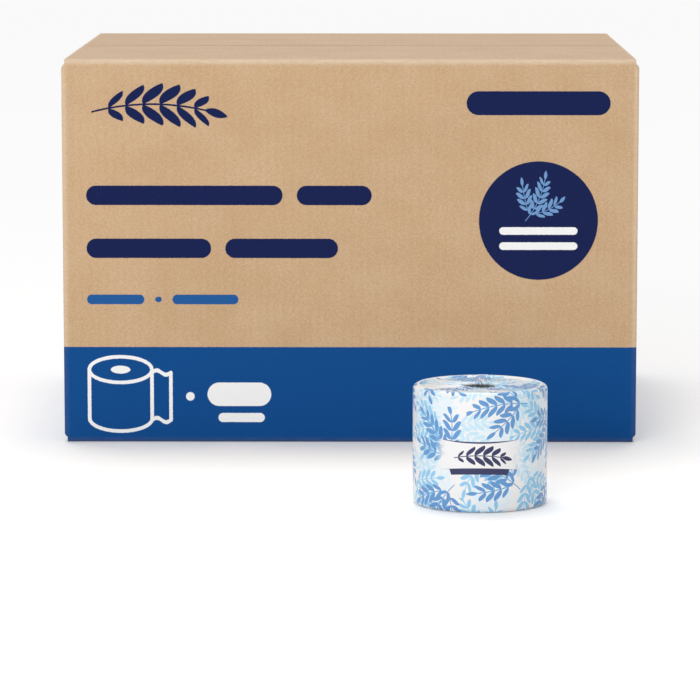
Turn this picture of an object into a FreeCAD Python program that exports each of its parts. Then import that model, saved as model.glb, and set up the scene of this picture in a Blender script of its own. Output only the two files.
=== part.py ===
import FreeCAD, Part
import math
import os
import Sketcher

# A sealed carton of toilet paper rolls with one wrapped roll standing before it.
# Millimetres, +Z up. The origin is on the floor, in the middle of the whole pack's footprint.
# The carton's front faces -Y.

SIZES = (
    ("carton_width", 530, "carton, left to right, outside"),
    ("carton_depth", 468, "carton, front to back, outside"),
    ("carton_height", 355, "carton, base to top, outside"),
    ("board", 4, "thickness of the corrugated board"),
    ("corner_radius", 2, "outside radius of the four upright corners"),
    ("score_radius", 4.5, "outside radius where a flap folds over"),
    ("flap_setback", 0.8, "outer flap's cut edge, in from where the corner starts to round"),
    ("flap_gap", 2.4, "seam between the two outer flaps"),
    ("joint_setback", 2.5, "cut edge of the glued joint, in from the back face"),
    ("roll_diameter", 113.5, "wrapped roll, over the paper"),
    ("roll_height", 101.6, "wrapped roll, rim to rim"),
    ("paper", 0.3, "thickness of the creased wrapping paper"),
    ("rim_radius", 4.2, "rounding of the paper over the roll's rim"),
    ("rim_land", 1.2, "flat ring on top of the rim"),
    ("end_dish", 1.6, "how far the pleated end lies below the rim"),
    ("dish_slope", 3, "width of the slope from the rim down to the pleated end"),
    ("mouth_radius", 2, "rounding where the paper turns down into the core"),
    ("tuck_depth", 24, "paper pushed into the core, from the rim"),
    ("tuck_gap", 2.4, "gathered paper stands this far off the core's wall"),
    ("pleats", 22, "pleats round each end"),
    ("pleat_rise", 0.9, "height of a pleat at the mouth"),
    ("pleat_reach", 25, "length of a pleat's crest, outwards from the mouth"),
    ("lap_width", 12, "overlap of the paper down the back"),
    ("core_bore", 36.6, "inside of the cardboard core"),
    ("core_wall", 0.9, "wall of the cardboard core"),
    ("core_setback", 3, "core's ends, in from the wrapped ends"),
    ("roll_gap", 262, "clear floor between the carton's front and the roll"),
    ("roll_aside", 112, "roll's axis, right of the carton's middle"),
)

doc = FreeCAD.newDocument("toilet_roll_pack")
sheet = doc.addObject("Spreadsheet::Sheet", "Sizes")
for row, (alias, value, note) in enumerate(SIZES, start=1):
    sheet.set(f"A{row}", note)
    sheet.set(f"B{row}", str(value))
    sheet.setAlias(f"B{row}", alias)
doc.recompute()

# Places that more than one piece uses, worked out from the sheet.
HALF_ROLL = "Sizes.roll_height / 2"
ROLL_RADIUS = "Sizes.roll_diameter / 2"
RIM_INSIDE = f"({ROLL_RADIUS} - Sizes.rim_radius - Sizes.rim_land)"
END_LEVEL = f"({HALF_ROLL} - Sizes.end_dish)"
MOUTH = "(Sizes.core_bore / 2 - Sizes.tuck_gap - Sizes.paper)"
SHOULDER = f"({MOUTH} + Sizes.mouth_radius)"
CARTON_PLACE = {"y": "(Sizes.roll_gap + Sizes.roll_diameter) / 2"}
ROLL_PLACE = {
    "x": "Sizes.roll_aside",
    "y": "-(Sizes.roll_gap + Sizes.carton_depth) / 2",
    "z": HALF_ROLL,
}
SHOWN_FLATS = 2  # flats in the rounding of the rim
HIDDEN_FLATS = 1  # in the roundings inside the paper and at its mouth


def size(alias):
    return float(getattr(sheet, alias))


def origin_part(body, role):
    return next(part for part in body.Origin.OriginFeatures if part.Role == role)


def new_body(name):
    body = doc.addObject("PartDesign::Body", name)
    body.Label = name
    return body


def place(piece, where):
    for axis, formula in where.items():
        piece.setExpression(f"Placement.Base.{axis}", formula)


def new_sketch(body, role, name, lift=None):
    sketch = body.newObject("Sketcher::SketchObject", name)
    sketch.AttachmentSupport = [(origin_part(body, role), "")]
    sketch.MapMode = "FlatFace"
    if lift:
        sketch.setExpression("AttachmentOffset.Base.z", lift)
    return sketch


def draw_outline(sketch, corners):
    """Closed outline of straight sides. Each corner is a pair of formulas, across and up."""
    first = sketch.GeometryCount
    count = len(corners)
    turn = 2 * math.pi / count
    rough = [FreeCAD.Vector(math.cos(turn * i), math.sin(turn * i), 0) for i in range(count)]
    for i in range(count):
        sketch.addGeometry(Part.LineSegment(rough[i], rough[(i + 1) % count]), False)
    for i in range(count):
        following = first + (i + 1) % count
        sketch.addConstraint(Sketcher.Constraint("Coincident", first + i, 2, following, 1))
    for i, (across, up) in enumerate(corners):
        for kind, start, formula in (("DistanceX", rough[i].x, across), ("DistanceY", rough[i].y, up)):
            index = sketch.addConstraint(Sketcher.Constraint(kind, -1, 1, first + i, 1, start))
            name = f"{kind}{first + i}"
            sketch.renameConstraint(index, name)
            sketch.setExpression(f"Constraints.{name}", formula)


def rounding(radius, height, size_across, first, last, flats):
    """Corners along an arc round the point (radius, height), between two angles in degrees."""
    corners = []
    for step in range(flats + 1):
        angle = math.radians(first + (last - first) * step / flats)
        corners.append((f"{radius} + {size_across} * {math.cos(angle):.6f}",
                        f"{height} + {size_across} * {math.sin(angle):.6f}"))
    return corners


def turn_profile(body, name, upper):
    """Ring turned about the Z axis, alike at both ends.

    The corners give its upper half as radius and height, from outside to inside.
    """
    sketch = new_sketch(body, "XZ_Plane", f"{name}_profile")
    lower = [(radius, f"-({height})") for radius, height in reversed(upper)]
    draw_outline(sketch, upper + lower)
    ring = body.newObject("PartDesign::Revolution", name)
    ring.Profile = sketch
    ring.ReferenceAxis = (sketch, ["V_Axis"])
    ring.Angle = 360
    doc.recompute()


def wrapped_corners(cover, rim_flats):
    """Rim and end of the roll, and the mouth in it, this much inside the paper's outer face."""
    rim = rounding(f"({ROLL_RADIUS} - Sizes.rim_radius)", f"({HALF_ROLL} - Sizes.rim_radius)",
                   f"(Sizes.rim_radius - {cover})", 0, 90, rim_flats)
    slope = [
        (RIM_INSIDE, f"{HALF_ROLL} - {cover}"),
        (f"{RIM_INSIDE} - Sizes.dish_slope", f"{END_LEVEL} - {cover}"),
    ]
    mouth = rounding(SHOULDER, f"({END_LEVEL} - Sizes.mouth_radius)",
                     f"(Sizes.mouth_radius - {cover})", 90, 180, HIDDEN_FLATS)
    return rim + slope, mouth


def round_edges(body, name, radius, wanted):
    """Round the edges of the body so far for which wanted(edge) holds."""
    base = body.Tip
    edges = [f"Edge{i}" for i, edge in enumerate(base.Shape.Edges, start=1) if wanted(edge)]
    fillet = body.newObject("PartDesign::Fillet", name)
    fillet.Base = (base, edges)
    fillet.setExpression("Radius", radius)
    doc.recompute()


def middle(edge):
    return edge.valueAt((edge.FirstParameter + edge.LastParameter) / 2)


def make_carton():
    """Regular slotted carton, shut: walls, inner flaps under outer flaps, seam along its length."""
    half_width = "Sizes.carton_width / 2"
    half_depth = "Sizes.carton_depth / 2"
    inner_top = "(Sizes.carton_height - Sizes.board)"
    half_gap = "Sizes.flap_gap / 2"
    body = new_body("carton")

    # Four walls, with the inner flaps folded in from the left and right.
    sketch = new_sketch(body, "XY_Plane", "wall_outline", "Sizes.board")
    draw_outline(sketch, (
        (f"-{half_width}", f"-{half_depth}"),
        (half_width, f"-{half_depth}"),
        (half_width, half_depth),
        (f"-{half_width}", half_depth),
    ))
    walls = body.newObject("PartDesign::Pad", "walls")
    walls.Profile = sketch
    walls.setExpression("Length", "Sizes.carton_height - 2 * Sizes.board")
    doc.recompute()

    side = size("carton_width") / 2
    front = size("carton_depth") / 2

    def inner_flap_score(edge):
        along = abs(edge.tangentAt(edge.FirstParameter).y) > 0.9
        return along and math.isclose(abs(middle(edge).x), side, abs_tol=1e-4)

    def upright_corner(edge):
        return abs(edge.tangentAt(edge.FirstParameter).z) > 0.9

    round_edges(body, "wall_corners", "Sizes.corner_radius", upright_corner)
    round_edges(body, "inner_flap_scores", "Sizes.score_radius", inner_flap_score)

    # The outer flaps fold over from the front and back walls.
    sketch = new_sketch(body, "YZ_Plane", "flap_outline")
    draw_outline(sketch, (
        (f"-{half_depth}", "0"),
        (half_depth, "0"),
        (half_depth, "Sizes.carton_height"),
        (f"-{half_depth}", "Sizes.carton_height"),
    ))
    flaps = body.newObject("PartDesign::Pad", "outer_flaps")
    flaps.Profile = sketch
    flaps.Midplane = True
    flaps.setExpression(
        "Length", "Sizes.carton_width - 2 * (Sizes.corner_radius + Sizes.flap_setback)")
    doc.recompute()

    top = size("carton_height")

    def flap_score(edge):
        point = middle(edge)
        along = abs(edge.tangentAt(edge.FirstParameter).x) > 0.9
        at_face = math.isclose(abs(point.y), front, abs_tol=1e-4)
        at_end = min(abs(point.z), abs(point.z - top)) < 1e-4
        return along and at_face and at_end

    round_edges(body, "flap_scores", "Sizes.score_radius", flap_score)

    # The seam where the two outer flaps meet, above and below.
    sketch = new_sketch(body, "YZ_Plane", "seam_outline")
    for low, high in (("-Sizes.board", "Sizes.board"),
                      (inner_top, "(Sizes.carton_height + Sizes.board)")):
        draw_outline(sketch, (
            (f"-{half_gap}", low), (half_gap, low), (half_gap, high), (f"-{half_gap}", high)))
    seam = body.newObject("PartDesign::Pocket", "flap_seam")
    seam.Profile = sketch
    seam.Midplane = True
    seam.setExpression("Length", "Sizes.carton_width")
    doc.recompute()

    # Left wall's cut edge, where it is glued over the back wall's tab.
    sketch = new_sketch(body, "XY_Plane", "joint_outline", "Sizes.board")
    draw_outline(sketch, (
        (f"-{half_width} - Sizes.board", f"{half_depth} - Sizes.joint_setback"),
        (f"-{half_width} + Sizes.board", f"{half_depth} - Sizes.joint_setback"),
        (f"-{half_width} + Sizes.board", f"{half_depth} + Sizes.board"),
        (f"-{half_width} - Sizes.board", f"{half_depth} + Sizes.board"),
    ))
    joint = body.newObject("PartDesign::Pocket", "glued_joint")
    joint.Profile = sketch
    joint.Reversed = True
    joint.setExpression("Length", "Sizes.carton_height - 2 * Sizes.board")
    doc.recompute()
    place(body, CARTON_PLACE)
    return body


def add_wedge(body, name, where, limits):
    """Ridge on a rectangular foot: local X along it, Y up to its crest and Z across it."""
    wedge = body.newObject("PartDesign::AdditiveWedge", name)
    for side, formula in limits.items():
        wedge.setExpression(side, formula)
    wedge.Placement = where
    doc.recompute()
    return wedge


def lay_wedge(along, to_crest):
    return FreeCAD.Placement(
        FreeCAD.Vector(), FreeCAD.Rotation(along, to_crest, along.cross(to_crest), "XYZ"))


def repeat_at_both_ends(body, ridge):
    """Copies of the newest ridge round one end of the roll, and mirrored at the other."""
    copies = body.newObject("PartDesign::MultiTransform", f"{ridge.Label}_copies")
    round_the_end = body.newObject("PartDesign::PolarPattern", f"{ridge.Label}_round_the_end")
    round_the_end.Axis = (origin_part(body, "Z_Axis"), [""])
    round_the_end.Angle = 360
    round_the_end.setExpression("Occurrences", "Sizes.pleats")
    other_end = body.newObject("PartDesign::Mirrored", f"{ridge.Label}_at_the_other_end")
    other_end.MirrorPlane = (origin_part(body, "XY_Plane"), [""])
    copies.Originals = [ridge]
    copies.Transformations = [round_the_end, other_end]
    body.Tip = copies
    doc.recompute()


def add_pleats(body):
    """Folds of the gathered paper, on the ends and down in the mouths."""
    half_pitch = f"(pi * {SHOULDER} / Sizes.pleats)"
    outwards, up = FreeCAD.Vector(1, 0, 0), FreeCAD.Vector(0, 0, 1)

    # The fold's crest leans to one side and dies away towards the rim.
    pleat = add_wedge(body, "pleat", lay_wedge(outwards, up), {
        "Xmin": SHOULDER,
        "Xmax": RIM_INSIDE,
        "X2min": SHOULDER,
        "X2max": f"{SHOULDER} + Sizes.pleat_reach",
        "Ymin": f"{END_LEVEL} - Sizes.mouth_radius",
        "Ymax": f"{END_LEVEL} + Sizes.pleat_rise",
        "Zmin": f"-{half_pitch}",
        "Zmax": half_pitch,
        "Z2min": f"{half_pitch} / 2",
        "Z2max": f"{half_pitch} / 2",
    })
    repeat_at_both_ends(body, pleat)

    # Down in the mouth the folds stand in towards the axis.
    tucked = add_wedge(body, "tucked_fold", lay_wedge(up, -outwards), {
        "Xmin": f"{HALF_ROLL} - Sizes.tuck_depth",
        "Xmax": f"{END_LEVEL} - Sizes.mouth_radius",
        "X2min": f"{HALF_ROLL} - Sizes.tuck_depth",
        "X2max": f"{END_LEVEL} - 2 * Sizes.mouth_radius",
        "Ymin": f"-({MOUTH} + Sizes.paper)",
        "Ymax": f"-({MOUTH} - Sizes.pleat_rise / 2)",
        "Zmin": f"-0.6 * {half_pitch}",
        "Zmax": f"0.6 * {half_pitch}",
        "Z2min": f"{half_pitch} / 4",
        "Z2max": f"{half_pitch} / 4",
    })
    repeat_at_both_ends(body, tucked)


def add_lap(body):
    """The paper's edge laps over itself down the back."""
    sketch = new_sketch(body, "XZ_Plane", "lap_profile")
    end = f"({HALF_ROLL} - Sizes.rim_radius)"
    draw_outline(sketch, (
        (f"{ROLL_RADIUS} - Sizes.paper", f"-{end}"),
        (f"{ROLL_RADIUS} + Sizes.paper", f"-{end}"),
        (f"{ROLL_RADIUS} + Sizes.paper", end),
        (f"{ROLL_RADIUS} - Sizes.paper", end),
    ))
    sketch.AttachmentOffset = FreeCAD.Placement(
        FreeCAD.Vector(), FreeCAD.Rotation(FreeCAD.Vector(0, 1, 0), 90))
    lap = body.newObject("PartDesign::Revolution", "lap")
    lap.Profile = sketch
    lap.ReferenceAxis = (sketch, ["V_Axis"])
    lap.Midplane = True
    lap.setExpression("Angle", f"360 * Sizes.lap_width / (2 * pi * {ROLL_RADIUS})")
    doc.recompute()


def make_wrapper():
    """Paper sleeve with its ends pleated inwards and pushed into the core."""
    outside = new_body("wrapper_outside")
    end, mouth = wrapped_corners("0", SHOWN_FLATS)
    turn_profile(outside, "sleeve", end + mouth)
    add_lap(outside)
    add_pleats(outside)

    # What the paper goes round, open to the bore between the two tucked ends.
    inside = new_body("wrapper_inside")
    end, mouth = wrapped_corners("Sizes.paper", HIDDEN_FLATS)
    tuck_end = f"({HALF_ROLL} - Sizes.tuck_depth)"
    turn_profile(inside, "filling", end + mouth + [
        (f"{MOUTH} + Sizes.paper", tuck_end),
        (f"{MOUTH} - 2 * Sizes.pleat_rise", tuck_end),
    ])

    wrapper = doc.addObject("Part::Cut", "wrapper")
    wrapper.Label = "wrapper"
    wrapper.Base = outside
    wrapper.Tool = inside
    place(wrapper, ROLL_PLACE)
    return wrapper


def make_core_tube():
    """Cardboard core, a little shorter than the tissue wound on it."""
    body = new_body("core_tube")
    bore = "Sizes.core_bore / 2"
    end = f"({HALF_ROLL} - Sizes.core_setback)"
    turn_profile(body, "tube", [(f"{bore} + Sizes.core_wall", end), (bore, end)])
    place(body, ROLL_PLACE)
    return body


def make_tissue_roll():
    """The wound tissue, which fills the paper from the core outwards."""
    body = new_body("tissue_roll")
    core = "(Sizes.core_bore / 2 + Sizes.core_wall)"
    end, _ = wrapped_corners("Sizes.paper", HIDDEN_FLATS)
    turn_profile(body, "winding", end + [(core, f"{END_LEVEL} - Sizes.paper")])
    place(body, ROLL_PLACE)
    return body


pieces = [make_carton(), make_wrapper(), make_core_tube(), make_tissue_roll()]
doc.recompute()

for item in doc.Objects:
    if "Invalid" in item.State or "Error" in item.State:
        raise RuntimeError(f"{item.Label} did not build: {item.State}")
for piece in pieces:
    if piece.Shape.isNull() or not piece.Shape.isValid() or len(piece.Shape.Solids) != 1:
        raise RuntimeError(f"{piece.Label} is not one sound solid")

os.makedirs("parts", exist_ok=True)
for piece in pieces:
    piece.Shape.exportStep(f"parts/{piece.Label}.step")
    box = piece.Shape.optimalBoundingBox(False, False)
    print(f"{piece.Label}: {box.XLength:.1f} x {box.YLength:.1f} x {box.ZLength:.1f} mm,"
          f" {piece.Shape.Volume:.0f} mm3, {len(piece.Shape.Faces)} faces")
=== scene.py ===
import bpy
import math
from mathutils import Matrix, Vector


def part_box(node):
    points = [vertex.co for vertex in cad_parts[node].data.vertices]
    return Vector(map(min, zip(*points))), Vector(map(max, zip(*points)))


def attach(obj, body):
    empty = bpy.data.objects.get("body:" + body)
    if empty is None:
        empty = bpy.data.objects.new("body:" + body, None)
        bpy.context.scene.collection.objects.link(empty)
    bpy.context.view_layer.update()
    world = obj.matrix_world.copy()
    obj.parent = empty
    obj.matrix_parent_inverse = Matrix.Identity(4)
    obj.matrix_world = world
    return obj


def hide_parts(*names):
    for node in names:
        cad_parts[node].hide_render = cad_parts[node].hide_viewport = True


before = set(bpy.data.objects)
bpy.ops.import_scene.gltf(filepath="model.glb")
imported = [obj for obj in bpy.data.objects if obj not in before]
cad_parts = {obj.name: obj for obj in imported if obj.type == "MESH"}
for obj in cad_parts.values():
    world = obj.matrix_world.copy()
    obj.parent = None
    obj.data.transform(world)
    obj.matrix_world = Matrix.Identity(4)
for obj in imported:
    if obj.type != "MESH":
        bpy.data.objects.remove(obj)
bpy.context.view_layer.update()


def tone(red, green, blue):
    # a colour as it looks on screen, 0 to 255, in the linear values that shaders take
    parts = [part / 255 for part in (red, green, blue)]
    linear = [((part + 0.055) / 1.055) ** 2.4 if part > 0.04 else part / 12.92 for part in parts]
    return (*linear, 1.0)


class Wire:
    # one socket of a node tree; arithmetic on it adds Math nodes
    def __init__(self, kit, socket):
        self.kit = kit
        self.socket = socket

    def out(self, name):
        return Wire(self.kit, self.socket.node.outputs[name])

    def math(self, operation, *others):
        return self.kit.calculate(operation, self, *others)

    def __add__(self, other):
        return self.math("ADD", other)

    def __sub__(self, other):
        return self.math("SUBTRACT", other)

    def __rsub__(self, other):
        return self.kit.calculate("SUBTRACT", other, self)

    def __mul__(self, other):
        return self.math("MULTIPLY", other)

    def __truediv__(self, other):
        return self.math("DIVIDE", other)

    def __pow__(self, other):
        return self.math("POWER", other)

    def __gt__(self, other):
        return self.math("GREATER_THAN", other)

    def __lt__(self, other):
        return self.math("LESS_THAN", other)

    def __abs__(self):
        return self.math("ABSOLUTE")

    def __neg__(self):
        return self * -1

    __radd__ = __add__
    __rmul__ = __mul__


class NodeKit:
    def __init__(self, tree):
        self.tree = tree

    def node(self, kind, settings=None, inputs=None, output=0):
        made = self.tree.nodes.new(kind)
        for name, value in (settings or {}).items():
            setattr(made, name, value)
        for key, value in (inputs or {}).items():
            if isinstance(value, Wire):
                self.tree.links.new(value.socket, made.inputs[key])
            else:
                made.inputs[key].default_value = value
        return Wire(self, made.outputs[output]) if made.outputs else None

    def calculate(self, operation, *values):
        return self.node("ShaderNodeMath", {"operation": operation}, dict(enumerate(values)))

    def smaller(self, first, second):
        return self.calculate("MINIMUM", first, second)

    def larger(self, first, second):
        return self.calculate("MAXIMUM", first, second)

    def ramp(self, value, low, high):
        # 0 below low, 1 above high, eased between; low may be the larger
        return self.node("ShaderNodeMapRange", {"interpolation_type": "SMOOTHSTEP"},
                         {0: value, 1: low, 2: high, 3: 0.0, 4: 1.0})

    def mix(self, share, first, second):
        return self.node("ShaderNodeMix", {"data_type": "RGBA"}, {0: share, 6: first, 7: second}, 2)

    def split(self, vector):
        parts = self.node("ShaderNodeSeparateXYZ", None, {0: vector})
        return parts, parts.out("Y"), parts.out("Z")

    def join(self, x, y, z):
        return self.node("ShaderNodeCombineXYZ", None, {0: x, 1: y, 2: z})

    def noise(self, vector, scale, detail=2.0, roughness=0.5):
        return self.node("ShaderNodeTexNoise", None,
                         {"Vector": vector, "Scale": scale, "Detail": detail, "Roughness": roughness})

    def length(self, x, y):
        return (x * x + y * y).math("SQRT")


def newMaterial(name):
    material = bpy.data.materials.new(name)
    material.use_nodes = True
    material.node_tree.nodes.clear()
    return material, NodeKit(material.node_tree)


def finishMaterial(kit, color, roughness, height, bump, **fixed):
    # one principled surface; bump holds a depth in metres and a strength, fixed holds constant sockets
    depth, strength = bump
    normal = kit.node("ShaderNodeBump", None, {"Height": height, "Distance": depth, "Strength": strength})
    inputs = {"Base Color": color, "Roughness": roughness, "Normal": normal}
    inputs.update(fixed)
    shader = kit.node("ShaderNodeBsdfPrincipled", None, inputs)
    kit.node("ShaderNodeOutputMaterial", None, {"Surface": shader})


# The leafy motif that the carton's and the wrapper's print share, in mm at size 1.
sprig = {
    "half": 24.0,  # from the motif's middle to its tip
    "gap": 6.2,  # from leaf to leaf along the stem
    "lean": math.radians(48),  # leaves, away from the stem
    "leaf": 10.5,  # longest leaf
    "leafHalf": 2.15,
    "tipLeaf": 8.5,
    "tipFrom": 0.86,  # share of the way to the tip at which the last leaf begins
    "tipHalf": 0.8,  # of leafHalf
    "plump": 0.75,  # power that rounds a leaf's outline
    "soft": 0.22,  # width of a leaf's edge
    "bare": 0.86,  # share of the stem, from its middle, that bears leaves
    "stemHalf": 0.28,
    "branch": math.radians(40),  # side branches, away from the middle one
    "branchHalf": 17.0,
    "branchFrom": 0.8,  # share of the way to the foot at which they leave
    "bend": 0.006,  # sideways, by the square of the way along
}


def leafyStem(kit, x, y, half):
    # leaves in pairs along a stem on the Y axis, shorter towards both ends
    side = abs(x)
    run = (y - side / math.tan(sprig["lean"])) / sprig["gap"]
    number = run.math("FLOOR")
    offAxis = abs(run - number - 0.5) * (sprig["gap"] * math.sin(sprig["lean"]))
    along = (number + 0.5) * (sprig["gap"] / half)
    envelope = kit.larger(1 - along * along, 0.0).math("SQRT") * (abs(along) < sprig["bare"])
    share = side / (kit.larger(envelope, 0.02) * (sprig["leaf"] * math.sin(sprig["lean"])))
    bulge = kit.larger((kit.smaller(share, 1.0) * math.pi).math("SINE"), 0.0) ** sprig["plump"]
    leaf = kit.ramp(bulge * envelope * sprig["leafHalf"] - offAxis, 0.0, sprig["soft"])
    stem = kit.ramp(side, sprig["stemHalf"] + 0.12, sprig["stemHalf"]) * kit.ramp(abs(y), half, half - 0.5)
    tipShare = kit.smaller(kit.larger((y - half * sprig["tipFrom"]) / sprig["tipLeaf"], 0.0), 1.0)
    tipBulge = kit.larger((tipShare * math.pi).math("SINE"), 0.0) ** sprig["plump"]
    tip = kit.ramp(tipBulge * (sprig["leafHalf"] * sprig["tipHalf"]) - side, 0.0, sprig["soft"])
    return kit.larger(kit.larger(leaf, stem), tip)


def leafySprig(kit, x, y, size=1.0):
    # one middle stem and two side branches that leave it near its foot
    x = (x / size) + (y / size) * (y / size) * sprig["bend"]
    y = y / size
    middle = leafyStem(kit, x, y, sprig["half"])
    fromFoot = y + sprig["half"] * sprig["branchFrom"]
    side = abs(x)
    turn, half = sprig["branch"], sprig["branchHalf"]
    across = side * math.cos(turn) - fromFoot * math.sin(turn)
    along = side * math.sin(turn) + fromFoot * math.cos(turn) - half
    branch = leafyStem(kit, across + along * along * sprig["bend"], along, half)
    return kit.larger(middle, branch * kit.ramp(side, 1.0, 2.0))


# Printed corrugated board.
board = {
    "kraft": tone(201, 165, 125),
    "kraftPale": tone(222, 195, 163),
    "kraftDark": tone(172, 135, 98),
    "kraftWarm": tone(184, 142, 96),
    # pale kraft of the scores: worn fibres, with a painted highlight on the folds
    "creased": tone(232, 210, 184),
    "cutEdge": tone(150, 116, 82),
    "medium": tone(70, 52, 38),
    "bandBlue": tone(6, 76, 142),
    "navy": tone(18, 32, 80),
    "lineBlue": tone(34, 92, 156),
    "motifBlue": tone(116, 158, 208),
    "white": tone(250, 250, 249),
    "bandTop": 89.2,  # mm above the floor
    "bandSoft": 0.25,
    "inkWander": 0.7,  # mm, how far the print's edges stray into the fibres
    "thick": 4.0,  # mm
    "seamHalf": 2.0,
    "flute": 7.8,  # mm from wave to wave in the board
    "fluteRise": 1.3,
    "scoreBandFrom": 6.5, "scoreBandTo": 2.0,  # mm from a score, where the pale band of wear and painted highlight starts and where it is full
    "roughness": 0.78,
    "bump": (0.0006, 0.35),
    "fixed": {"Specular IOR Level": 0.06, "Sheen Weight": 0.22, "Sheen Roughness": 0.45},
}

# Bars that stand for words on the front, in mm from its middle and above the floor: left, right, low, high.
printLines = {
    "navy": (
        (107, 239, 304, 326),
        (-243, -62, 221, 239), (-49, 20, 221, 239),
        (-243, -128, 172, 190), (-115, -11, 172, 190),
    ),
    "lineBlue": ((-243, -190, 129, 138), (-164, -103, 129, 138), (-180, -174, 131, 136)),
    "white": ((-132, -73, 34, 56), (-122, -79, 19, 27.5), (-152, -144, 39, 47)),
}

disc = {
    "x": 173.5, "z": 206.8, "radius": 54.8,
    "sprigSize": 0.95, "sprigUp": 19.0, "sprigTurn": math.radians(-24),
    "lines": ((-36, 36, -13, -6), (-36, 36, -27, -20)),
}

# The leafy stem at the upper left.
crest = {"x": -182.0, "z": 314.0, "half": 22.0, "size": 2.55}

# A roll in white line on the band; tilt is half the height of its ovals, line half the width of its strokes.
pictogram = {
    "x": -212.5, "top": 68.0, "foot": 22.4, "radius": 29.0, "tilt": 12.0,
    "core": 5.0, "coreTilt": 2.05,
    "sheetEnd": 46.5, "sheetTop": 65.3, "sheetFoot": 20.8, "ripple": 2.0,
    "line": 1.65, "soft": 0.2,
}


def blankLines(kit, x, z, lines):
    # bars with round ends, for the words that a real carton has
    total = None
    for left, right, low, high in lines:
        half = (high - low) / 2
        across = kit.larger(abs(x - (left + right) / 2) - ((right - left) / 2 - half), 0.0)
        bar = kit.ramp(kit.length(across, z - (low + high) / 2), half + 0.25, half - 0.25)
        total = bar if total is None else kit.larger(total, bar)
    return total


def strokeTo(kit, x, z, start, end):
    # distance in mm from a straight stroke
    runX, runZ = end[0] - start[0], end[1] - start[1]
    fromX, fromZ = x - start[0], z - start[1]
    share = (fromX * runX + fromZ * runZ) / (runX * runX + runZ * runZ)
    share = kit.smaller(kit.larger(share, 0.0), 1.0)
    return kit.length(fromX - share * runX, fromZ - share * runZ)


def ovalTo(kit, x, z, across, up):
    # distance in mm from an oval line, near enough for a thin stroke
    scaledX, scaledZ = x / across, z / up
    size = kit.length(scaledX, scaledZ)
    slope = kit.length(scaledX / across, scaledZ / up)
    return abs(size - 1) * size / kit.larger(slope, 0.001)


def rollPictogram(kit, x, z):
    # a roll drawn in line, with a rippled sheet standing out from its side
    p = pictogram
    x = x - p["x"]
    top, foot, radius, end = p["top"], p["foot"], p["radius"], p["sheetEnd"]
    farAway = 100
    nearest = ovalTo(kit, x, z - top, radius, p["tilt"])
    coreOval = (kit.length(x / p["core"], (z - top) / p["coreTilt"]) - 1) * p["coreTilt"]
    nearest = kit.smaller(nearest, coreOval)
    lowOval = ovalTo(kit, x, z - foot, radius, p["tilt"]) + (z > foot) * farAway
    nearest = kit.smaller(nearest, lowOval)
    for side in (-radius, radius):
        nearest = kit.smaller(nearest, strokeTo(kit, x, z, (side, foot), (side, top)))
    nearest = kit.smaller(nearest, strokeTo(kit, x, z, (end, p["sheetFoot"]), (end, p["sheetTop"])))
    wave = ((x - radius) * (2 * math.pi / (end - radius))).math("SINE") * p["ripple"]
    beside = (x < radius) * farAway + (x > end) * farAway
    leaning = 0.85  # a slanting line lies nearer than it does straight up or down
    for level in (p["sheetTop"], p["sheetFoot"]):
        nearest = kit.smaller(nearest, abs(z - level - wave) * leaning + beside)
    return kit.ramp(nearest, p["line"] + p["soft"], p["line"] - p["soft"])


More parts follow.
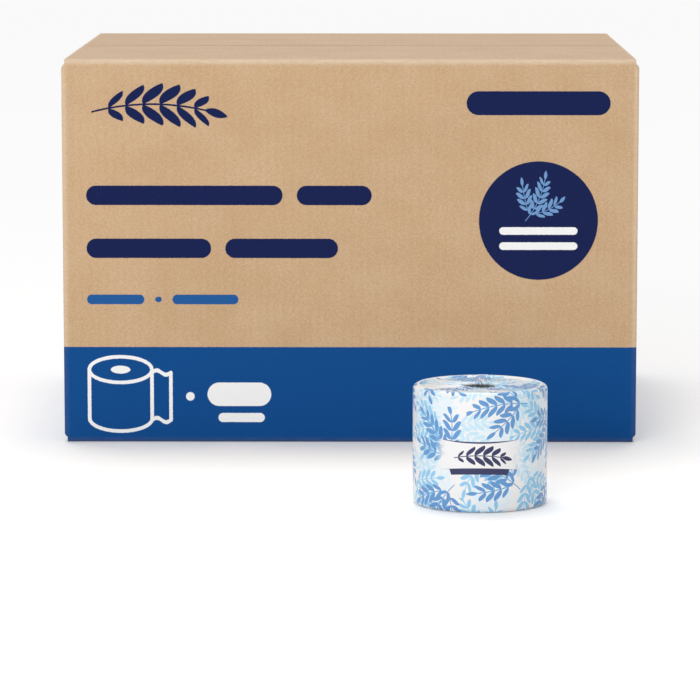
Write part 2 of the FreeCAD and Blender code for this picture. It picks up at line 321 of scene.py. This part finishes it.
def printedBoard():
    # kraft board in mm about the carton, with the front's print and the band round the foot
    material, kit = newMaterial("printedBoard")
    low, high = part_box("carton")
    place = kit.node("ShaderNodeTexCoord", output="Object")
    facing = kit.node("ShaderNodeTexCoord", output="Normal")
    x, y, z = kit.split(place)
    x, y, z = x * 1000, y * 1000, z * 1000
    faceX, faceY, faceZ = kit.split(facing)
    halfWide, halfDeep, tall = (high[0] - low[0]) * 500, (high[1] - low[1]) * 500, (high[2] - low[2]) * 1000
    fromMiddleY = abs(y - (low[1] + high[1]) * 500)
    fromMiddleZ = abs(z - tall / 2)
    walls = kit.ramp(abs(faceZ), 0.72, 0.6)
    front = kit.ramp(faceY, -0.6, -0.75)
    sideWall = abs(faceX) > 0.7

    # flutes show through faintly; they run up the walls and across the top
    fluteRun = x + (y - x) * sideWall
    flute = (fluteRun * (2 * math.pi / board["flute"])).math("SINE") * 0.5 + 0.5

    # kraft liner: short fibres lying along the sheet, cloudy formation, few dark specks
    lying = kit.join(x * 0.25, y * 0.25, z)
    fibre = kit.noise(lying, 1.9, 4.0, 0.65)
    cloud = kit.noise(place, 22.0, 3.0, 0.55)
    speck = kit.ramp(kit.noise(place, 620.0, 1.0), 0.70, 0.78)
    fleck = kit.ramp(kit.noise(kit.join(x * 0.2, y * 0.2, z * 1.1), 0.8, 1.0), 0.68, 0.8)
    patch = kit.noise(kit.join(x * 0.012, y * 0.012, z * 0.02), 1.0, 3.0, 0.6)
    kraft = kit.mix(kit.ramp(fibre, 0.3, 0.72) * 0.55 + kit.ramp(cloud, 0.35, 0.7) * 0.2,
                    board["kraft"], board["kraftPale"])
    kraft = kit.mix(flute * 0.05 + speck * 0.35 + fleck * 0.22 + kit.ramp(patch, 0.4, 0.75) * 0.12,
                    kraft, board["kraftDark"])
    mottle = kit.noise(kit.join(x * 0.45, y * 0.45, z * 0.6), 1.0, 3.0, 0.7)
    kraft = kit.mix(kit.ramp(mottle, 0.42, 0.7) * 0.34, kraft, board["kraftWarm"])
    kraft = kit.mix(kit.ramp(mottle, 0.5, 0.28) * 0.3, kraft, board["kraftPale"])

    # along the scores the creased fibres are paler from wear, and the pale band is also painted on as the
    # highlight that the folds catch
    nearTop, nearFront, nearSide = (
        kit.ramp(distance, half - board["scoreBandFrom"], half - board["scoreBandTo"])
        for distance, half in ((fromMiddleZ, tall / 2), (fromMiddleY, halfDeep), (abs(x), halfWide)))
    score = kit.larger(nearTop * nearFront, kit.larger(nearFront * nearSide, nearTop * nearSide) * 0.7)
    scuff = kit.ramp(kit.noise(kit.join(x * 0.05, y * 0.3, z * 0.3), 1.6, 3.0, 0.6), 0.25, 0.75)
    wornAndHighlit = score * (0.45 + scuff * 0.5)
    # painted highlight and wear along the scores
    color = kit.mix(wornAndHighlit * 0.85, kraft, board["creased"])

    # ink soaks into the fibres, so it is never quite even
    inkDepth = 0.998 - kit.ramp(fibre, 0.5, 0.85) * 0.02 - speck * 0.03
    edge = (kit.noise(place, 900.0, 2.0) - 0.5) * board["inkWander"]
    printed = kit.ramp(abs(faceZ), 0.97, 0.9)
    soft = board["bandSoft"]
    band = kit.ramp(z + edge, board["bandTop"] + soft, board["bandTop"] - soft) * printed
    # the band's ink is painted a little lighter on the scores too, as wear and painted highlight
    color = kit.mix(band * inkDepth * (1 - wornAndHighlit * 0.06), color, board["bandBlue"])

    frontX, frontZ = x + edge, z + edge
    discX, discZ = frontX - disc["x"], frontZ - disc["z"]
    discArea = kit.ramp(kit.length(discX, discZ), disc["radius"] + 0.3, disc["radius"] - 0.3)
    color = kit.mix(discArea * front * inkDepth, color, board["navy"])
    turn = disc["sprigTurn"]
    motifZ = discZ - disc["sprigUp"]
    motif = leafySprig(kit, discX * math.cos(turn) + motifZ * math.sin(turn),
                       motifZ * math.cos(turn) - discX * math.sin(turn), disc["sprigSize"])
    color = kit.mix(motif * discArea * front, color, board["motifBlue"])
    color = kit.mix(blankLines(kit, discX, discZ, disc["lines"]) * front * inkDepth, color, board["white"])
    crestX = (frontX - crest["x"]) / crest["size"]
    crestZ = (frontZ - crest["z"]) / crest["size"]
    stem = leafyStem(kit, crestZ + crestX * crestX * sprig["bend"], crestX, crest["half"])
    color = kit.mix(stem * front * inkDepth, color, board["navy"])
    for ink, lines in printLines.items():
        color = kit.mix(blankLines(kit, frontX, frontZ, lines) * front * inkDepth, color, board[ink])
    color = kit.mix(rollPictogram(kit, frontX, frontZ) * front * inkDepth, color, board["white"])

    # cut edges: at the flaps' ends the liners show as two lines, in the seam the waves between them
    thick, seamHalf = board["thick"], board["seamHalf"]
    topCut = kit.ramp(fromMiddleZ, tall / 2 - thick, tall / 2 - thick + 0.2)
    inBoard = tall / 2 - thick / 2 - fromMiddleZ
    wave = (x * (2 * math.pi / board["flute"])).math("SINE") * board["fluteRise"]
    seamCut = kit.ramp(fromMiddleY, seamHalf, seamHalf - 0.5) * walls * topCut
    inMedium = kit.ramp(abs(inBoard), thick / 2 - 0.25, thick / 2 - 0.5)
    medium = kit.ramp(abs(inBoard - wave * seamCut), 0.35, 0.6) * inMedium
    endCut = topCut * sideWall * kit.ramp(fromMiddleY, halfDeep - thick + 1, halfDeep - thick)
    cut = kit.larger(endCut, seamCut)
    color = kit.mix(cut * 0.8, color, board["cutEdge"])
    color = kit.mix(cut * medium * 0.7, color, board["medium"])

    height = flute * 0.10 + fibre * 0.25 + cloud * 0.3 - wornAndHighlit * kit.noise(place, 260.0, 2.0) * 0.5
    inkCover = kit.larger(band, discArea * front)
    roughness = board["roughness"] - inkCover * 0.12 + speck * 0.05
    finishMaterial(kit, color, roughness, height, board["bump"], **board["fixed"])
    return material


# Thin glazed paper round the roll.
paper = {
    "ground": tone(240, 238, 238),
    "steelBlue": tone(92, 148, 204),
    "lightBlue": tone(142, 200, 234),
    "paleBlue": tone(196, 226, 242),
    "faintBlue": tone(222, 238, 247),
    "navy": tone(22, 26, 80),
    # painted shade: the colour that the paper down the roll's mouth is painted towards, and the depths where
    # it begins and is full
    "mouthShade": tone(82, 74, 70),
    "mouthShadeFrom": 2.0, "mouthShadeTo": 4.2,  # mm below the rim
    "mouthShadeShare": 0.85,
    "tuckFrom": 89.0, "tuckTo": 91.0,  # mm along the paper from the side's middle, where the mouth begins
    "roughness": 0.34,
    "bump": (0.0012, 0.42),
    "fixed": {"Coat Weight": 0.25, "Coat Roughness": 0.18, "Specular IOR Level": 0.5},
}

# Layers of the print from back to front: ink, cell of the scatter, shift, motif size, share of filled cells.
printLayers = (
    ("faintBlue", 50.0, (7.0, 19.0), 1.05, 0.95),
    ("paleBlue", 47.0, (31.0, 5.0), 0.95, 0.80),
    ("lightBlue", 53.0, (12.0, 40.0), 1.05, 0.70),
    ("steelBlue", 58.0, (44.0, 27.0), 1.12, 0.70),
)

# The blank label field, in mm.
label = {
    "turn": math.radians(-91.9),  # faces the photograph's side
    "halfWide": 35.0,
    "fade": 7.0,
    "low": 33.0, "high": 59.6,
    "arcRise": 1.6, "arcLine": 0.7, "footLine": 0.3,
    "ribbonHalf": 25.0, "ribbonTall": 5.0, "ribbonDrop": 1.2, "ribbonSlant": 0.35,
    "stemHalf": 19.0, "stemSize": 1.15,
}


def printLayer(kit, across, along, number, cell, shift, size, filled):
    # motifs scattered one to a cell, every other column half a cell down, each turned its own way
    stray = cell * 0.16
    across, along = across + shift[0], along + shift[1]
    column = (across / cell).math("FLOOR")
    halfDrop = (column * 0.5).math("FRACT") * cell
    along = along + halfDrop
    row = (along / cell).math("FLOOR")
    chance = kit.node("ShaderNodeTexWhiteNoise", {"noise_dimensions": "3D"},
                      {"Vector": kit.join(column, row, number * 7.0 + 1.0)}, "Color")
    turn, nudge, present = kit.split(chance)
    localX = across - (column + 0.5) * cell + (nudge - 0.5) * stray
    localY = along - (row + 0.5) * cell + (turn - 0.5) * stray
    angle = turn * (2 * math.pi)
    cosine, sine = angle.math("COSINE"), angle.math("SINE")
    x = localX * cosine + localY * sine
    y = localY * cosine - localX * sine
    return leafySprig(kit, x, y, size) * (present < filled)


def printedPaper(radius, middle, height):
    # the sheet's print, in mm across it and along it from the floor up
    material, kit = newMaterial("printedPaper")
    across, along, _ = kit.split(kit.node("ShaderNodeUVMap", {"uv_map": "paperMap"}))
    across, along = across * 1000, along * 1000
    spread = kit.join(across, along, 0.0)
    color = paper["ground"]

    # the plain label field on the side, with its line above and its ribbon below
    labelAcross = across - label["turn"] * radius * 1000
    share = labelAcross / label["halfWide"]
    bow = share * share
    fieldX = kit.ramp(abs(labelAcross), label["halfWide"] + label["fade"], label["halfWide"] - label["fade"])
    top = label["high"] + bow * label["arcRise"]
    drop = (labelAcross / label["ribbonHalf"]) ** 2.0 * label["ribbonDrop"]
    foot = label["low"] - drop + label["ribbonTall"]
    field = fieldX * kit.ramp(along, top + 0.3, top - 0.3) * kit.ramp(along, foot - 0.3, foot + 0.3)

    for number, (ink, cell, shift, size, filled) in enumerate(printLayers):
        motif = printLayer(kit, across, along, number, cell, shift, size, filled)
        color = kit.mix(motif * (1 - field), color, paper[ink])

    lineHalf = kit.larger(1 - bow, 0.0) * label["arcLine"]
    arcLine = kit.ramp(abs(along - top) - lineHalf, 0.15, -0.15) * kit.ramp(abs(share), 1.0, 0.98)
    footHalf = kit.larger(1 - bow, 0.0) * label["footLine"]
    footLine = kit.ramp(abs(along - foot) - footHalf, 0.12, -0.12) * kit.ramp(abs(share), 1.0, 0.98)
    fromRibbon = along - foot + label["ribbonTall"] / 2
    slant = label["ribbonHalf"] + fromRibbon * label["ribbonSlant"]
    ribbon = kit.ramp(abs(fromRibbon), label["ribbonTall"] / 2 + 0.12, label["ribbonTall"] / 2 - 0.12)
    ribbon = ribbon * kit.ramp(abs(labelAcross) - slant, 0.15, -0.15)
    stemUp = along - (label["low"] + label["high"] + label["ribbonTall"]) / 2
    stemAcross = labelAcross / label["stemSize"]
    stem = leafyStem(kit, stemUp / label["stemSize"] + stemAcross * stemAcross * sprig["bend"],
                     stemAcross, label["stemHalf"])
    marks = kit.larger(kit.larger(arcLine, footLine), kit.larger(ribbon, stem))
    color = kit.mix(marks, color, paper["navy"])

    # over the white tissue the thin paper looks white; down the mouth its colour is painted darker with
    # depth below the rim, as painted shade of the hole, with a little of the core board showing through the
    # paper
    _, _, placeZ = kit.split(kit.node("ShaderNodeTexCoord", output="Object"))
    depth = (height - abs(placeZ - middle[2])) * 1000
    tucked = kit.ramp(abs(along - middle[2] * 1000), paper["tuckFrom"], paper["tuckTo"])
    # painted shade, deeper down the mouth
    mouthShade = kit.ramp(depth, paper["mouthShadeFrom"], paper["mouthShadeTo"]) * tucked
    color = kit.mix(mouthShade * paper["mouthShadeShare"], color, paper["mouthShade"])

    # faint waviness of thin paper, and fine creases where it was gathered
    slack = kit.noise(kit.join(across * 0.02, along * 0.008, 0.0), 1.0, 2.0)
    crease = abs(kit.noise(spread, 0.16, 3.0, 0.6) - 0.5)
    grain = kit.noise(spread, 3.0, 3.0, 0.6)
    relief = slack * 1.5 + kit.ramp(crease, 0.0, 0.03) * 0.05 + grain * 0.03
    finishMaterial(kit, color, paper["roughness"] + grain * 0.08, relief, paper["bump"], **paper["fixed"])
    return material


# Inside the roll: the spiral-wound core, pitch in mm from seam to seam, and the tissue on it.
core = {
    "board": tone(148, 124, 98), "seam": tone(104, 84, 64), "pitch": 52.0,
    "roughness": 0.85, "bump": (0.0003, 0.6),
}
tissue = {
    "white": tone(244, 243, 240), "shade": tone(222, 221, 217), "windings": 2.2, "dots": 300,
    "roughness": 0.9, "bump": (0.0005, 0.5),
}


def axisPlace(kit, node):
    # angle about the roll's axis in turns, distance from it and height, in mm
    low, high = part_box(node)
    x, y, z = kit.split(kit.node("ShaderNodeTexCoord", output="Object"))
    x, y = x - (low[0] + high[0]) / 2, y - (low[1] + high[1]) / 2
    turn = kit.calculate("ARCTAN2", y, x) / (2 * math.pi)
    return turn, kit.length(x, y) * 1000, z * 1000


def coreBoard():
    material, kit = newMaterial("coreBoard")
    turn, _, z = axisPlace(kit, "core_tube")
    place = kit.node("ShaderNodeTexCoord", output="Object")
    wound = (z / core["pitch"] + turn).math("FRACT")
    seam = kit.ramp(abs(wound - 0.5), 0.018, 0.008)
    fibre = kit.noise(place, 300.0, 4.0, 0.65)
    color = kit.mix(seam * 0.8 + kit.ramp(fibre, 0.35, 0.75) * 0.25, core["board"], core["seam"])
    finishMaterial(kit, color, core["roughness"] + fibre * 0.1, fibre * 0.3 - seam, core["bump"])
    return material


def softTissue():
    material, kit = newMaterial("softTissue")
    turn, out, z = axisPlace(kit, "tissue_roll")
    place = kit.node("ShaderNodeTexCoord", output="Object")
    winding = ((out * tissue["windings"] + turn) * (2 * math.pi)).math("SINE") * 0.5 + 0.5
    fluff = kit.noise(place, 420.0, 4.0, 0.7)
    dots = ((turn * tissue["dots"]).math("SINE") * (z * 1.6).math("SINE")) * 0.5 + 0.5
    color = kit.mix(winding * 0.2 + kit.ramp(fluff, 0.3, 0.8) * 0.3, tissue["white"], tissue["shade"])
    relief = winding * 0.4 + fluff * 0.5 + dots * 0.2
    roughness = tissue["roughness"] + fluff * 0.1
    finishMaterial(kit, color, roughness, relief, tissue["bump"], **{"Sheen Weight": 0.3})
    return material


# The wrapper is one sheet round the roll, its ends gathered into pleats and pushed into the core, in metres.
wrapper = {
    "columns": 384,
    "thickness": 0.00013,
    "lap": 0.012,  # overlap down the back
    "lapStep": 0.00026,
    "lapFrom": 0.945, "lapTo": 0.965,  # share of the way round where the loose edge lifts
    "footRoom": 0.0001,  # keeps the tucks of the lower rim off the floor
    "rim": 0.0042, "land": 0.0011, "dish": 0.0014, "slope": 0.004,
    "mouth": 0.0153, "mouthRounding": 0.0022, "tuck": 0.0235,
    "pleats": 54, "rise": 0.0009, "reach": 0.037,
    "crestAt": 0.78,  # share of a pleat's width at which it is highest
    "uneven": 1.9, "twist": 0.8,  # in pleats
    "foldLeast": 0.0010, "foldMore": 0.0026,  # of the folds that stand into the mouth
    "rimTucks": 2.5,  # to a pleat
    "tuckRise": 0.00022,
    "slackMost": 0.00016,
    "ragged": 0.010,  # how uneven the sheet's ends lie in the core
    "seed": 4.0,
}


def arcPoints(middle, radius, first, last, count):
    angles = [math.radians(first + (last - first) * step / count) for step in range(count + 1)]
    return [(middle[0] + radius * math.cos(a), middle[1] + radius * math.sin(a)) for a in angles]


def linePoints(start, end, count):
    # the points between two ends, without the ends
    shares = [step / count for step in range(1, count)]
    return [(start[0] + (end[0] - start[0]) * s, start[1] + (end[1] - start[1]) * s) for s in shares]


def meridian(radius, half):
    # the paper's line from the side's middle, over the rim and down the mouth: radius and height
    w = wrapper
    rim = arcPoints((radius - w["rim"], half - w["rim"]), w["rim"], 0, 90, 8)
    landEnd = (radius - w["rim"] - w["land"], half)
    level = half - w["dish"]
    slopeEnd = (landEnd[0] - w["slope"], level)
    slope = []
    slopeSteps = 6
    for step in range(1, slopeSteps):
        share = step / slopeSteps
        eased = share * share * (3 - 2 * share)
        slope.append((landEnd[0] + (slopeEnd[0] - landEnd[0]) * share, landEnd[1] - w["dish"] * eased))
    shoulder = w["mouth"] + w["mouthRounding"]
    mouth = arcPoints((shoulder, level - w["mouthRounding"]), w["mouthRounding"], 90, 180, 7)
    tuckEnd = (w["mouth"], half - w["tuck"])
    upper = [(radius, 0.0)] + linePoints((radius, 0.0), rim[0], 12) + rim + [landEnd] + slope
    upper += [slopeEnd] + linePoints(slopeEnd, mouth[0], 20) + mouth
    upper += linePoints(mouth[-1], tuckEnd, 9) + [tuckEnd]
    lower = [(r, -z) for r, z in upper[:0:-1]]
    return lower + upper


def profileCurve(points):
    # the meridian as a curve, which the node tree reads point by point
    curve = bpy.data.curves.new("wrapperProfile", "CURVE")
    curve.dimensions = "3D"
    spline = curve.splines.new("POLY")
    spline.points.add(len(points) - 1)
    run, last = 0.0, points[0]
    middle = len(points) // 2
    lengths = []
    for point in points:
        run += math.dist(last, point)
        lengths.append(run)
        last = point
    for item, (r, z), length in zip(spline.points, points, lengths):
        item.co = (r, length - lengths[middle], z, 1.0)
    holder = bpy.data.objects.new("wrapperProfile", curve)
    bpy.context.scene.collection.objects.link(holder)
    return holder


def wrapperTree(axis, radius, half):
    tree = bpy.data.node_groups.new("wrapSheet", "GeometryNodeTree")
    face = tree.interface
    face.new_socket("Geometry", in_out="OUTPUT", socket_type="NodeSocketGeometry")
    kinds = {"Profile": "Object", "Rows": "Int", "Columns": "Int", "Paper": "Material"}
    kinds.update({name: "Float" for name in ("Pleats", "Rise", "Reach", "Lap", "Seed")})
    sockets = {}
    for name, kind in kinds.items():
        sockets[name] = face.new_socket(name, in_out="INPUT", socket_type="NodeSocket" + kind).identifier
    kit = NodeKit(tree)
    given = kit.node("NodeGroupInput")
    rows, columns, pleats = given.out("Rows"), given.out("Columns"), given.out("Pleats")
    seed, lap = given.out("Seed"), given.out("Lap")

    sheet = kit.node("GeometryNodeMeshGrid", None, {"Vertices X": columns + 1, "Vertices Y": rows})
    index = kit.node("GeometryNodeInputIndex")
    column = (index / rows + 0.0001).math("FLOOR")
    row = index - column * rows
    profile = kit.node("GeometryNodeObjectInfo", None, {"Object": given.out("Profile")}, "Geometry")

    def profileAt(number):
        position = kit.node("GeometryNodeInputPosition")
        return kit.node("GeometryNodeSampleIndex",
                        {"data_type": "FLOAT_VECTOR", "domain": "POINT", "clamp": True},
                        {"Geometry": profile, "Value": position, "Index": number})

    out, run, up = kit.split(profileAt(row))
    beforeOut, _, beforeUp = kit.split(profileAt(row - 1))
    afterOut, _, afterUp = kit.split(profileAt(row + 1))
    tangentOut, tangentUp = afterOut - beforeOut, afterUp - beforeUp
    tangent = kit.larger(kit.length(tangentOut, tangentUp), 1e-6)
    normalOut, normalUp = tangentUp / tangent, -tangentOut / tangent

    # round the roll, from just before the back to just past it
    wrap = column / columns
    angle = wrap * (lap + 2 * math.pi) - lap / 2 - 1.5 * math.pi
    cosine, sine = angle.math("COSINE"), angle.math("SINE")
    lowerEnd = up < 0.0
    ring = kit.join(cosine * 1.3, sine * 1.3, seed + lowerEnd * 9.0)

    # pleats: folded over to one side, uneven in width, height and reach
    uneven = (kit.noise(ring, 1.6, 2.0) - 0.5) * wrapper["uneven"]
    inward = kit.ramp(out, radius, wrapper["mouth"])
    phase = angle * pleats / (2 * math.pi) + uneven + inward * wrapper["twist"]
    fold = phase.math("FLOOR")
    within = phase - fold
    foldNumber = fold.math("FLOORED_MODULO", pleats)

    def chance(salt):
        return kit.node("ShaderNodeTexWhiteNoise", {"noise_dimensions": "3D"},
                        {"Vector": kit.join(foldNumber, seed + lowerEnd * 5.0, salt)}, "Value")

    rising = kit.smaller(within / wrapper["crestAt"], (1 - within) / (1 - wrapper["crestAt"]))
    ridge = rising * rising * (3 - 2 * rising) * 0.35 + rising * 0.65
    reach = given.out("Reach") * (0.5 + chance(1.0) * 0.5)
    fade = kit.larger(1 - (out - wrapper["mouth"]) / reach, 0.0)
    fade = kit.smaller(fade, 1.0)
    rise = given.out("Rise") * (0.3 + chance(2.0) * 0.88)
    onTop = fade ** 0.85 * rise * ridge

    # deeper folds stand in towards the axis once the paper turns down the mouth
    downMouth = kit.ramp(abs(up), half - wrapper["dish"], half - wrapper["dish"] - 0.004)
    inMouth = kit.ramp(out, wrapper["mouth"] + 0.004, wrapper["mouth"]) * downMouth
    foldIn = (ridge - 0.4) * (wrapper["foldLeast"] + chance(3.0) * wrapper["foldMore"]) * inMouth

    # small tucks run over the rim and die out down the side
    fineAngle = angle * (pleats * wrapper["rimTucks"]) / (2 * math.pi) + uneven * 2.0
    fine = abs((fineAngle * math.pi).math("SINE"))
    atRim = kit.ramp(out, radius - 0.012, radius - 0.004) * kit.ramp(abs(up), half - 0.014, half - 0.002)
    tucks = (fine - 0.75) * wrapper["tuckRise"] * atRim * kit.ramp(kit.noise(ring, 3.1, 1.0), 0.35, 0.65)
    slack = (kit.noise(kit.join(cosine * 2.0, sine * 2.0, up * 9.0), 1.7, 2.0) - 0.62) * 0.0006
    slack = kit.larger(kit.smaller(slack, 0.0), -wrapper["slackMost"]) * (out > radius - 0.003)

    # the loose edge is stepped over the part under it
    lapOver = kit.ramp(wrap, wrapper["lapFrom"], wrapper["lapTo"]) * wrapper["lapStep"]
    lift = onTop + foldIn + tucks + slack + lapOver
    ragged = (kit.noise(ring, 6.0, 2.0) - 0.5) * wrapper["ragged"]
    tuckShare = kit.ramp(abs(up), half - 0.008, half - wrapper["tuck"]) * inMouth
    newOut = out + normalOut * lift
    newUp = up + normalUp * lift + ragged * tuckShare * (1 - lowerEnd * 2)
    placed = kit.join(cosine * newOut + axis[0], sine * newOut + axis[1], newUp + axis[2])
    placedSheet = kit.node("GeometryNodeSetPosition", None, {"Geometry": sheet, "Position": placed})
    flat = kit.node("GeometryNodeFieldOnDomain", {"data_type": "FLOAT_VECTOR", "domain": "POINT"},
                    {"Value": kit.join(angle * radius, run + axis[2], 0.0)})
    mapped = kit.node("GeometryNodeStoreNamedAttribute", {"data_type": "FLOAT2", "domain": "CORNER"},
                      {"Geometry": placedSheet, "Name": "paperMap", "Value": flat})
    smooth = kit.node("GeometryNodeSetShadeSmooth", None, {"Geometry": mapped})
    real = kit.node("GeometryNodeRealizeInstances", None, {"Geometry": smooth})
    coated = kit.node("GeometryNodeSetMaterial", None, {"Geometry": real, "Material": given.out("Paper")})
    kit.node("NodeGroupOutput", None, {0: coated})
    return tree, sockets


def plainMesh(maker, name):
    # what the modifiers make, as a mesh of its own
    evaluated = maker.evaluated_get(bpy.context.evaluated_depsgraph_get())
    mesh = bpy.data.meshes.new_from_object(evaluated)
    mesh.name = name
    maker.modifiers.clear()
    maker.data = mesh


def makeWrapper():
    # the paper round the roll, fitted to the box of the node that it replaces
    low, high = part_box("wrapper")
    radius = (high[0] - low[0]) / 2
    half = (high[2] - low[2]) / 2
    axis = ((low[0] + high[0]) / 2, low[1] + radius, low[2] + half)
    points = meridian(radius, half - wrapper["lapStep"] - wrapper["footRoom"])
    profile = profileCurve(points)
    material = printedPaper(radius, axis, half)
    piece = bpy.data.objects.new("wrapperPaper", bpy.data.meshes.new("wrapperPaper"))
    bpy.context.scene.collection.objects.link(piece)
    tree, sockets = wrapperTree(axis, radius, half)
    sheet = piece.modifiers.new("wrapSheet", "NODES")
    sheet.node_group = tree
    values = {
        "Profile": profile, "Rows": len(points), "Columns": wrapper["columns"],
        "Pleats": float(wrapper["pleats"]), "Rise": wrapper["rise"], "Reach": wrapper["reach"],
        "Lap": wrapper["lap"] / radius, "Seed": wrapper["seed"], "Paper": material,
    }
    for name, value in values.items():
        sheet[sockets[name]] = value
    wall = piece.modifiers.new("wall", "SOLIDIFY")
    wall.thickness = wrapper["thickness"]
    wall.offset = -1
    plainMesh(piece, "wrapperPaper")
    bpy.data.objects.remove(profile)
    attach(piece, "root")
    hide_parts("wrapper")


# Stage, light and camera, in metres.
stage = {
    "floor": tone(245, 245, 245), "size": 40.0,
    "floorLift": 0.17,  # seen by the camera and in reflections only
    "ambient": 0.42,
}
camera = {
    "place": (0.027, -3.546, 0.559), "aim": (0.0, -0.046, 0.0865),
    "lens": 196.3, "sensor": 36.0,  # mm
    "far": 100.0,
}
lamps = {
    "sun": {"from": (-0.05, 0.26, 0.96), "strength": 1.4, "softness": math.radians(32)},
    "panel": {"place": (-0.9, -2.9, 1.2), "aim": (0.0, -0.2, 0.15), "power": 38.0, "size": 1.6},
}


def makeStage():
    # a pale floor that keeps the shadows, and a world that the camera sees as white
    half = stage["size"] / 2
    mesh = bpy.data.meshes.new("floor")
    corners = [(-half, -half, 0), (half, -half, 0), (half, half, 0), (-half, half, 0)]
    mesh.from_pydata(corners, [], [(0, 1, 2, 3)])
    floor = bpy.data.objects.new("floor", mesh)
    bpy.context.scene.collection.objects.link(floor)
    material, kit = newMaterial("paleFloor")
    ray = kit.node("ShaderNodeLightPath", output="Is Camera Ray")
    seen = kit.larger(ray, ray.out("Is Glossy Ray"))
    shader = kit.node("ShaderNodeBsdfPrincipled", None, {
        "Base Color": stage["floor"], "Roughness": 1.0, "Specular IOR Level": 0.0,
        "Emission Color": kit.mix(seen, (0.0, 0.0, 0.0, 1.0), (stage["floorLift"],) * 3 + (1.0,)),
        "Emission Strength": 1.0})
    kit.node("ShaderNodeOutputMaterial", None, {"Surface": shader})
    mesh.materials.append(material)

    world = bpy.data.worlds.new("studio")
    world.use_nodes = True
    world.node_tree.nodes.clear()
    kit = NodeKit(world.node_tree)
    ray = kit.node("ShaderNodeLightPath", output="Is Camera Ray")
    seen = kit.larger(ray, kit.larger(ray.out("Is Glossy Ray") * 0.5, ray.out("Is Transmission Ray")))
    light = kit.node("ShaderNodeBackground", None, {
        "Color": (1.0, 1.0, 1.0, 1.0), "Strength": seen * (1 - stage["ambient"]) + stage["ambient"]})
    kit.node("ShaderNodeOutputWorld", None, {"Surface": light})
    bpy.context.scene.world = world


def pointed(holder, place, aim):
    # puts a lamp or a camera in its place, facing its aim
    holder.location = place
    holder.rotation_euler = (Vector(aim) - Vector(place)).to_track_quat("-Z", "Y").to_euler()
    bpy.context.scene.collection.objects.link(holder)
    return holder


def makeLights():
    sun = bpy.data.lights.new("sun", "SUN")
    sun.energy = lamps["sun"]["strength"]
    sun.angle = lamps["sun"]["softness"]
    pointed(bpy.data.objects.new("sun", sun), Vector(lamps["sun"]["from"]) * 3, (0, 0, 0))
    panel = bpy.data.lights.new("panel", "AREA")
    panel.energy = lamps["panel"]["power"]
    panel.size = lamps["panel"]["size"]
    pointed(bpy.data.objects.new("panel", panel), lamps["panel"]["place"], lamps["panel"]["aim"])


def makeCamera():
    lens = bpy.data.cameras.new("camera")
    lens.lens = camera["lens"]
    lens.sensor_width = camera["sensor"]
    lens.clip_end = camera["far"]
    view = pointed(bpy.data.objects.new("camera", lens), camera["place"], camera["aim"])
    bpy.context.scene.camera = view


def dress(node, material):
    # a CAD node keeps its shape and gets this surface
    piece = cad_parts[node]
    piece.data.materials.clear()
    piece.data.materials.append(material)


makeCamera()
makeStage()
makeLights()
print("stage, lights and camera are in place")
makeWrapper()
print("the wrapper is folded")
dress("carton", printedBoard())
dress("core_tube", coreBoard())
dress("tissue_roll", softTissue())
print("every piece has its finish")
bpy.context.scene.view_settings.view_transform = "Standard"
